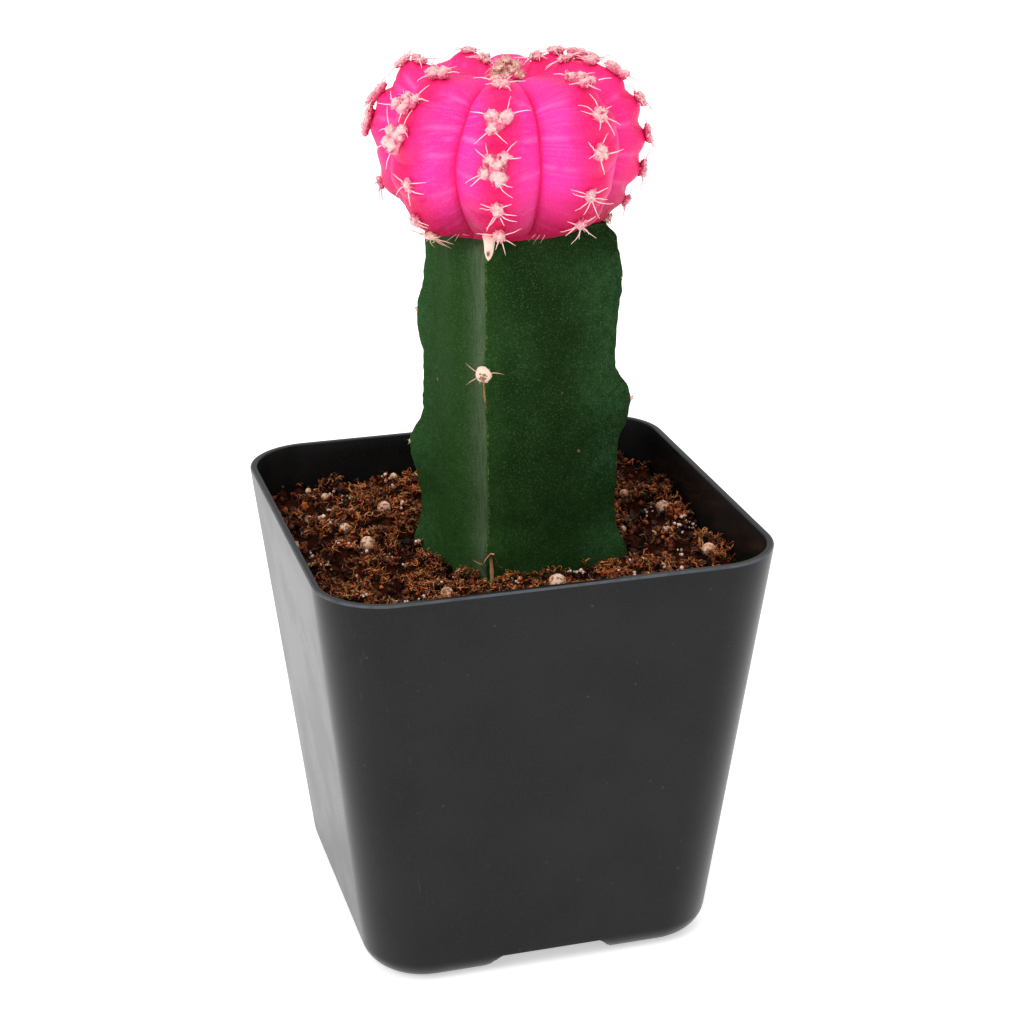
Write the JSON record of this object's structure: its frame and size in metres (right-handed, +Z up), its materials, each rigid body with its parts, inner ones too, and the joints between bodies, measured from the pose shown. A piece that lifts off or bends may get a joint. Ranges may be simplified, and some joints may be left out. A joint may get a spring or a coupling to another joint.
{
  "type": "potted moon cactus",
  "caption": "Ribbed pink cactus globe with spined areoles, grafted on a three-winged green stem, standing in soil in a tapered square nursery pot.",
  "frame": {"origin": "on the ground under the middle of the pot", "axes": "+Z up, X and Y along the sides of the square pot; the stem's narrow front wing faces -Y"},
  "size_m": [0.07, 0.07, 0.1374],
  "materials": {
    "pot": "satin moulded black plastic with a fine grain",
    "soil": "loose fibrous brown potting mix with pale round prills",
    "stock": "waxy dark green skin with fine pale speckles and corky edges",
    "scion": "satin crimson pink skin with paler streaks and cream areoles"
  },
  "bodies": {
    "root": {"pot": "pot", "soil": "soil", "stock": "stock", "scion": "scion"}
  },
  "joints": []
}
